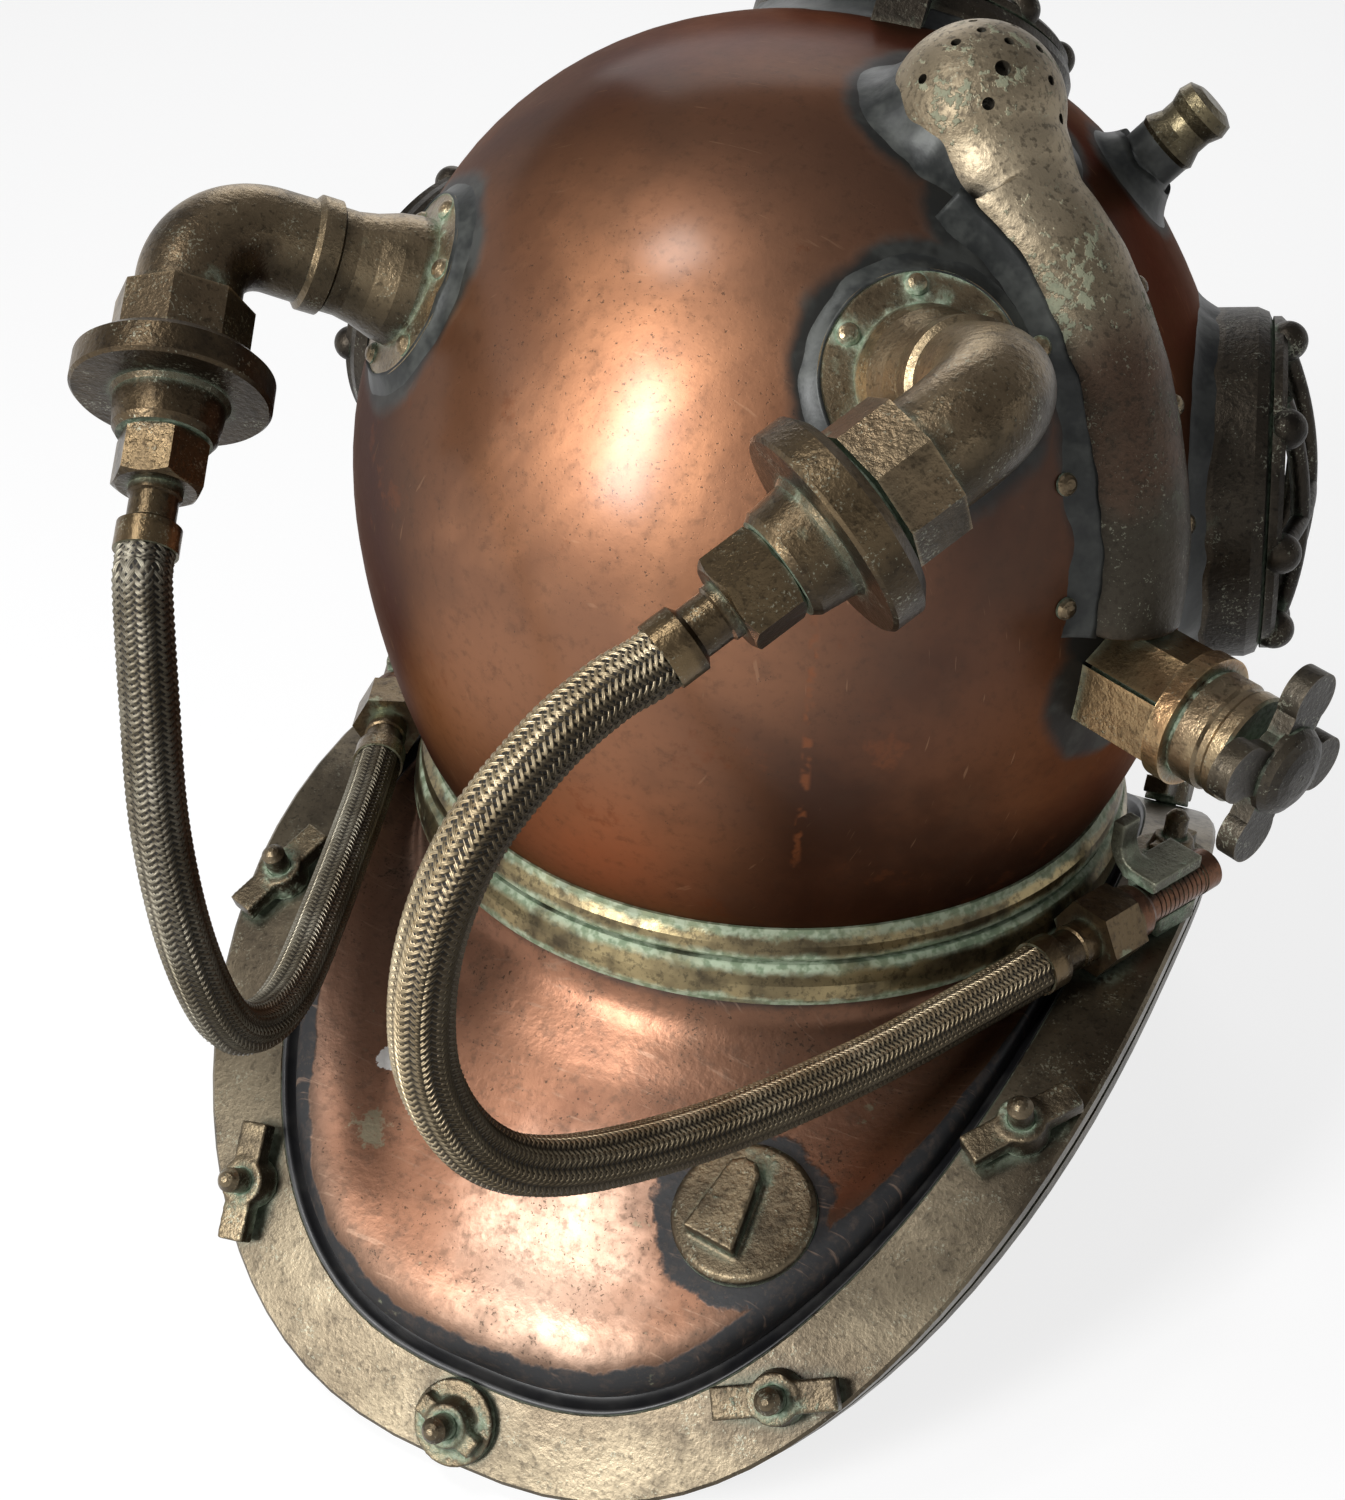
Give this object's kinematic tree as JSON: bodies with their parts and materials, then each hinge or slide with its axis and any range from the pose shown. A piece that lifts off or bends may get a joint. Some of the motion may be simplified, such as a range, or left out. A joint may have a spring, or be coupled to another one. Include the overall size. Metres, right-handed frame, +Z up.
{
  "type": "diving helmet",
  "caption": "Copper deep-sea diving helmet on a saddle breastplate with brass brails, swan-neck elbows with braided hoses, guarded windows and an exhaust valve",
  "frame": {"origin": "on the neck axis at the joint between the two brass neck rings", "axes": "+Z up along the neck axis, -Y towards the front window, -X towards the diver's right"},
  "size_m": [0.3824, 0.4944, 0.4238],
  "materials": {
    "bonnet_copper": "satin copper with dark clouds",
    "breast_copper": "satin copper with dark clouds",
    "brail_brass": "satin brass",
    "flange_brass": "darkened brass",
    "gasket_rubber": "matt black",
    "ring_brass": "antique brass with verdigris",
    "washer_leather": "oiled leather",
    "nut_brass": "antique brass",
    "hook_bronze": "bronze with pale green patina",
    "fitting_copper": "satin copper",
    "elbow_copper": "brown copper",
    "coupling_brass": "antique brass",
    "union_bronze": "red bronze",
    "hose_braid": "woven wire",
    "window_glass": "clear",
    "light_bronze": "dark bronze",
    "valve_bronze": "bronze",
    "window_brass": "antique brass",
    "boss_solder": "dark solder",
    "cap_brass": "antique brass"
  },
  "bodies": {
    "helmet": {"breastplate_shell": "breast_copper", "rim_flange": "flange_brass", "collar_gasket": "gasket_rubber", "brail_back_left": "brail_brass", "brail_back_right": "brail_brass", "brail_front_left": "brail_brass", "brail_front_right": "brail_brass", "rim_studs": "nut_brass", "plain_wing_nuts": "nut_brass", "flanged_wing_nuts": "nut_brass", "lower_neck_ring": "ring_brass", "neck_gasket": "washer_leather", "upper_neck_ring": "ring_brass", "right_hook": "hook_bronze", "left_hook": "hook_bronze", "back_boss": "fitting_copper", "bonnet_shell": "bonnet_copper", "bonnet_rivets": "fitting_copper", "exhaust_channel": "fitting_copper", "channel_cover": "fitting_copper", "valve_body": "valve_bronze", "valve_cover": "valve_bronze", "right_elbow_flange": "fitting_copper", "left_elbow_flange": "fitting_copper", "right_elbow": "elbow_copper", "left_elbow": "elbow_copper", "right_coupling": "coupling_brass", "left_coupling": "coupling_brass", "right_union_nut": "union_bronze", "left_union_nut": "union_bronze", "right_hose_ferrules": "union_bronze", "left_hose_ferrules": "union_bronze", "right_hose": "hose_braid", "left_hose": "hose_braid", "right_shoulder_union": "union_bronze", "left_shoulder_union": "union_bronze", "top_light_frame": "light_bronze", "top_light_glass": "window_glass", "top_light_guard": "light_bronze", "right_light_frame": "light_bronze", "right_light_glass": "window_glass", "right_light_guard": "light_bronze", "left_light_frame": "light_bronze", "left_light_glass": "window_glass", "left_light_guard": "light_bronze", "face_ring": "window_brass", "port_boss": "boss_solder", "port_cap": "cap_brass", "small_boss": "boss_solder", "spitcock_body": "cap_brass", "light_screws": "light_bronze"},
    "spindle": {"valve_stem": "valve_bronze", "valve_disc": "valve_bronze"},
    "handwheel": {"valve_handwheel": "valve_bronze"},
    "window_washer": {"face_washer": "washer_leather"},
    "front_window": {"face_window": "window_brass", "face_glass": "window_glass"},
    "spitcock_handle": {"spitcock_lever": "cap_brass"}
  },
  "joints": [
    {"name": "valve_travel", "type": "slide", "parent": "helmet", "child": "spindle", "axis": [0.9192, -0.3902, 0.0523], "range_m": [0, 0.003]},
    {"name": "valve_wheel_turn", "type": "hinge", "parent": "spindle", "child": "handwheel", "pos_m": [-0.18385, 0.07804, 0.09953], "axis": [0.9192, -0.3902, 0.0523], "range_deg": [0, 540]},
    {"name": "window_travel", "type": "slide", "parent": "helmet", "child": "window_washer", "axis": [0, -1, 0], "range_m": [0, 0.012]},
    {"name": "window_turn", "type": "hinge", "parent": "window_washer", "child": "front_window", "pos_m": [0, -0.17, 0.11], "axis": [0, -1, 0], "range_deg": [0, 1440]},
    {"name": "spitcock_turn", "type": "hinge", "parent": "helmet", "child": "spitcock_handle", "pos_m": [0.09936, -0.12718, 0.07569], "axis": [-0.788, -0.6157, 0], "range_deg": [-90, 0]}
  ],
  "couplings": [
    {"joint": "valve_wheel_turn", "follows": "valve_travel", "rad_per_m": 3141.6},
    {"joint": "window_turn", "follows": "window_travel", "rad_per_m": 2094.4}
  ]
}
